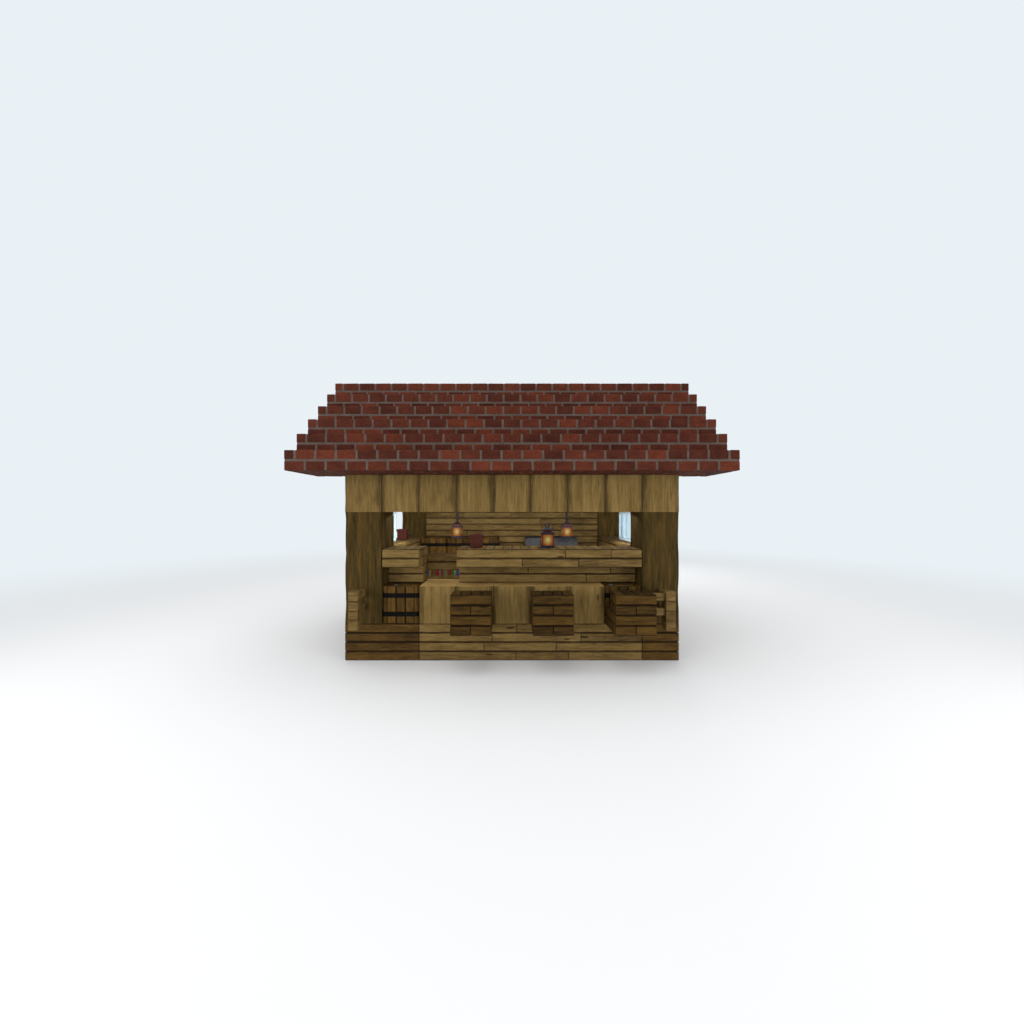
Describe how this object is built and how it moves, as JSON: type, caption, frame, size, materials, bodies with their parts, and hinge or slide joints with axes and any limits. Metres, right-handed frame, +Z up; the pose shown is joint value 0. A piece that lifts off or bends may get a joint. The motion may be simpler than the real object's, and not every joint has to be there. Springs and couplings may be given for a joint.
{
  "type": "wooden market stall",
  "caption": "Open-fronted wooden market stall with a stepped brick roof on log posts, a front counter on logs and casks, fixed seats, low railings, side glazing and lanterns.",
  "frame": {"origin": "on the ground, under the middle of the roof", "axes": "+Z up, +X along the counter, to the right of a person who stands before it; the front looks along -Y"},
  "size_m": [6.6, 4.8, 4.8],
  "materials": {
    "oak_boards": "sawn oak boards, matt",
    "stripped_log": "stripped log, matt",
    "dark_boards": "dark stained boards, matt",
    "dark_log": "rough dark bark, matt",
    "brick": "red-brown brick with grey mortar",
    "cask_wood": "oiled staves",
    "iron": "blackened iron",
    "lantern_cap": "red-brown, worn",
    "lantern_glass": "glowing amber glass",
    "glass": "clear window glass",
    "window_frame": "pale grey-blue paint",
    "terracotta": "fired clay, matt",
    "stone": "rough grey stone",
    "books": "cloth-bound books"
  },
  "bodies": {
    "root": {"plinth_front_left": "dark_boards", "plinth_front_middle": "oak_boards", "plinth_front_right": "dark_boards", "plinth_left": "oak_boards", "plinth_right": "oak_boards", "plinth_back": "oak_boards", "floor_bearers": "oak_boards", "floor_deck": "oak_boards", "post_front_left": "dark_log", "post_front_right": "dark_log", "post_back_left": "dark_log", "post_back_right": "dark_log", "counter_logs": "stripped_log", "front_casks": "cask_wood", "front_cask_bands": "iron", "counter_left": "oak_boards", "counter_right": "oak_boards", "sign_board": "oak_boards", "side_wall_left": "oak_boards", "side_wall_right": "oak_boards", "side_linings": "oak_boards", "sill_left": "oak_boards", "sill_right": "oak_boards", "window_frame_left": "window_frame", "window_frame_right": "window_frame", "window_glass": "glass", "back_wall": "oak_boards", "beam_front": "stripped_log", "beam_back": "stripped_log", "beam_left": "stripped_log", "beam_right": "stripped_log", "ceiling": "oak_boards", "gable_left": "oak_boards", "gable_right": "oak_boards", "roof_front_row_1": "brick", "roof_front_row_2": "brick", "roof_front_row_3": "brick", "roof_back_row_1": "brick", "roof_back_row_2": "brick", "roof_back_row_3": "brick", "seats": "dark_boards", "railing_left": "oak_boards", "railing_right": "oak_boards", "lantern_standing": "iron", "lantern_left": "iron", "lantern_right": "iron", "lantern_glasses": "lantern_glass", "lantern_chains": "iron", "pot_counter": "terracotta", "pot_sill": "terracotta", "bookcase": "oak_boards", "books": "books", "back_casks": "cask_wood", "back_cask_bands": "iron", "stone_blocks": "stone"}
  },
  "joints": []
}
